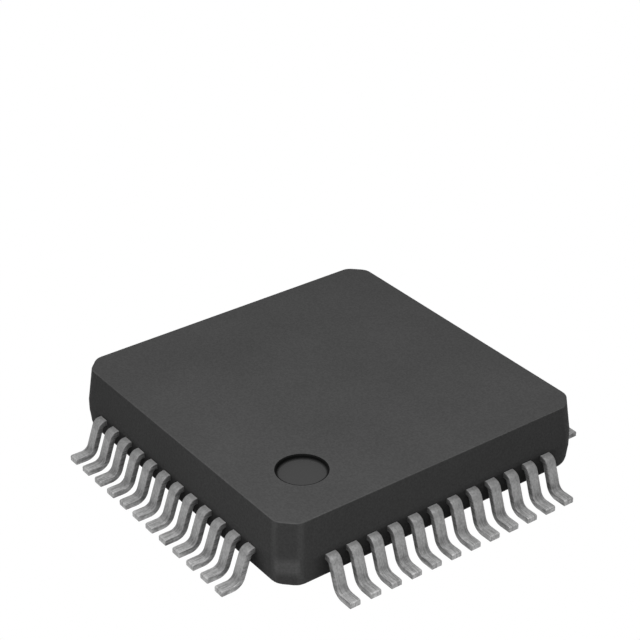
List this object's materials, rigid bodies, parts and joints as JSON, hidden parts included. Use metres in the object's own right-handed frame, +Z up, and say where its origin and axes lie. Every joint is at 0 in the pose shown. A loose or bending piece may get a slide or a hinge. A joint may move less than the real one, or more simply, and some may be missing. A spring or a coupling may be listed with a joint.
{
  "type": "quad flat pack chip",
  "caption": "Square moulded chip package with a row of gull-wing leads along each side and a round dimple that marks the first lead.",
  "frame": {"origin": "middle of the footprint, on the plane that the feet of the leads stand on", "axes": "+Z up through the marked top face; the dimple and lead 1 are at the corner of -X and +Y, and the leads are numbered anticlockwise seen from above"},
  "size_m": [0.0148, 0.0148, 0.0027],
  "materials": {
    "mould_compound": "dark grey filled epoxy, matt, with a fine grain",
    "lead_plating": "matt tin plate on copper alloy, finely drawn",
    "lead_frame": "bare copper alloy",
    "die_attach": "silver-filled epoxy",
    "silicon": "polished silicon",
    "bond_wire": "drawn gold wire"
  },
  "bodies": {
    "root": {"moulded_body": "mould_compound", "lead_01": "lead_plating", "lead_02": "lead_plating", "lead_03": "lead_plating", "lead_04": "lead_plating", "lead_05": "lead_plating", "lead_06": "lead_plating", "lead_07": "lead_plating", "lead_08": "lead_plating", "lead_09": "lead_plating", "lead_10": "lead_plating", "lead_11": "lead_plating", "lead_12": "lead_plating", "lead_13": "lead_plating", "lead_14": "lead_plating", "lead_15": "lead_plating", "lead_16": "lead_plating", "lead_17": "lead_plating", "lead_18": "lead_plating", "lead_19": "lead_plating", "lead_20": "lead_plating", "lead_21": "lead_plating", "lead_22": "lead_plating", "lead_23": "lead_plating", "lead_24": "lead_plating", "lead_25": "lead_plating", "lead_26": "lead_plating", "lead_27": "lead_plating", "lead_28": "lead_plating", "lead_29": "lead_plating", "lead_30": "lead_plating", "lead_31": "lead_plating", "lead_32": "lead_plating", "lead_33": "lead_plating", "lead_34": "lead_plating", "lead_35": "lead_plating", "lead_36": "lead_plating", "lead_37": "lead_plating", "lead_38": "lead_plating", "lead_39": "lead_plating", "lead_40": "lead_plating", "lead_41": "lead_plating", "lead_42": "lead_plating", "lead_43": "lead_plating", "lead_44": "lead_plating", "lead_45": "lead_plating", "lead_46": "lead_plating", "lead_47": "lead_plating", "lead_48": "lead_plating", "die_pad": "lead_frame", "die_attach": "die_attach", "silicon_die": "silicon", "bond_wires_side_1": "bond_wire", "bond_wires_side_2": "bond_wire", "bond_wires_side_3": "bond_wire", "bond_wires_side_4": "bond_wire"}
  },
  "joints": []
}
